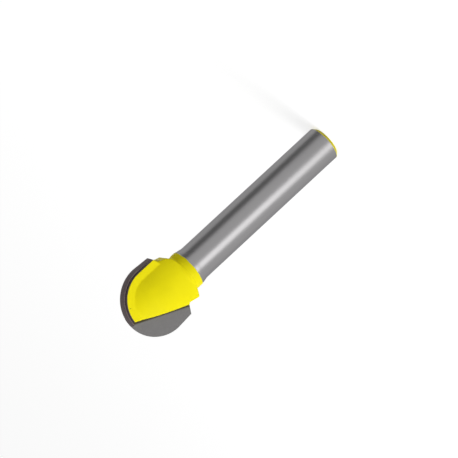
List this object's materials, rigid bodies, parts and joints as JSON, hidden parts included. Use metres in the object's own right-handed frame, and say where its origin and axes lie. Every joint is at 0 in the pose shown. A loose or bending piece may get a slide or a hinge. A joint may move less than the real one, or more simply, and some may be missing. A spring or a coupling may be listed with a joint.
{
  "type": "core box router bit",
  "caption": "Core box router bit with a round-nosed head, brazed carbide blades and a plain straight shank.",
  "frame": {"origin": "centre of the flat end face of the shank", "axes": "+Z along the axis of the bit from the shank to the round cutting nose; +X towards the cutting edge of blade 1, whose rake face looks towards +Y"},
  "size_m": [0.0126, 0.007, 0.0463],
  "materials": {
    "bit_steel": "ground",
    "carbide": "ground"
  },
  "bodies": {
    "root": {"steel_body": "bit_steel", "carbide_tip_1": "carbide", "carbide_tip_2": "carbide"}
  },
  "joints": []
}
